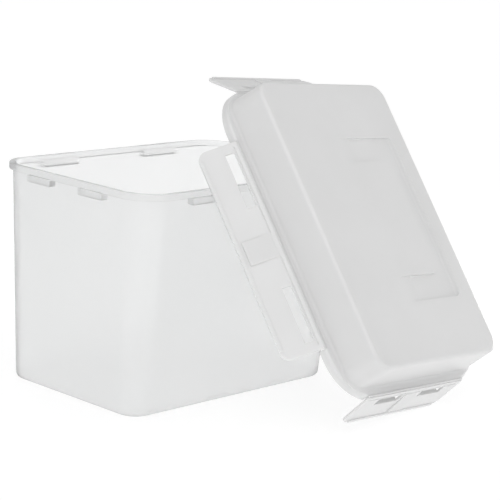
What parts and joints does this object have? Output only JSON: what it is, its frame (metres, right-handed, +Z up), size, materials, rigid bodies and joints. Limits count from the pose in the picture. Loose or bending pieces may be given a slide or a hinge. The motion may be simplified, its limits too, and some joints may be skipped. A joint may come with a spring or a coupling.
{
  "type": "bread box",
  "caption": "Tall translucent plastic bread box, its domed clip-on lid taken off and leaning on the front rim, with hinged locking flaps on each side of the lid and a seal under its flange",
  "frame": {"origin": "middle of the tub's base, on the floor it stands on", "axes": "+Z up; X along the tub's long side; -Y is the front, where the lid leans; metres"},
  "size_m": [0.3142, 0.3301, 0.2606],
  "materials": {
    "clear_polypropylene": "natural translucent polypropylene, smooth",
    "white_polypropylene": "milky white polypropylene, satin",
    "silicone": "white silicone"
  },
  "bodies": {
    "tub": {"tub": "clear_polypropylene"},
    "lid": {"lid_shell": "white_polypropylene", "lid_seal": "silicone", "hinge_front": "white_polypropylene", "hinge_right": "white_polypropylene", "hinge_back": "white_polypropylene", "hinge_left": "white_polypropylene"},
    "flap_front": {"flap_front": "white_polypropylene"},
    "flap_right": {"flap_right": "white_polypropylene"},
    "flap_back": {"flap_back": "white_polypropylene"},
    "flap_left": {"flap_left": "white_polypropylene"}
  },
  "joints": [
    {"name": "lid_lift", "type": "slide", "parent": "tub", "child": "lid", "axis": [0, 0, 1], "range_m": [0, 0.25]},
    {"name": "front_flap_hinge", "type": "hinge", "parent": "lid", "child": "flap_front", "pos_m": [-0.02943, -0.14017, 0.14463], "axis": [0.0119, 0.6064, 0.7951], "range_deg": [0, 115]},
    {"name": "right_flap_hinge", "type": "hinge", "parent": "lid", "child": "flap_right", "pos_m": [0.06233, -0.21334, 0.03191], "axis": [-0.994, -0.079, 0.0752], "range_deg": [-10, 155]},
    {"name": "back_flap_hinge", "type": "hinge", "parent": "lid", "child": "flap_back", "pos_m": [0.15725, -0.12533, 0.13052], "axis": [-0.0119, -0.6064, -0.7951], "range_deg": [-50, 115]},
    {"name": "left_flap_hinge", "type": "hinge", "parent": "lid", "child": "flap_left", "pos_m": [0.0655, -0.05216, 0.24324], "axis": [0.994, 0.079, -0.0752], "range_deg": [-47, 118]}
  ]
}
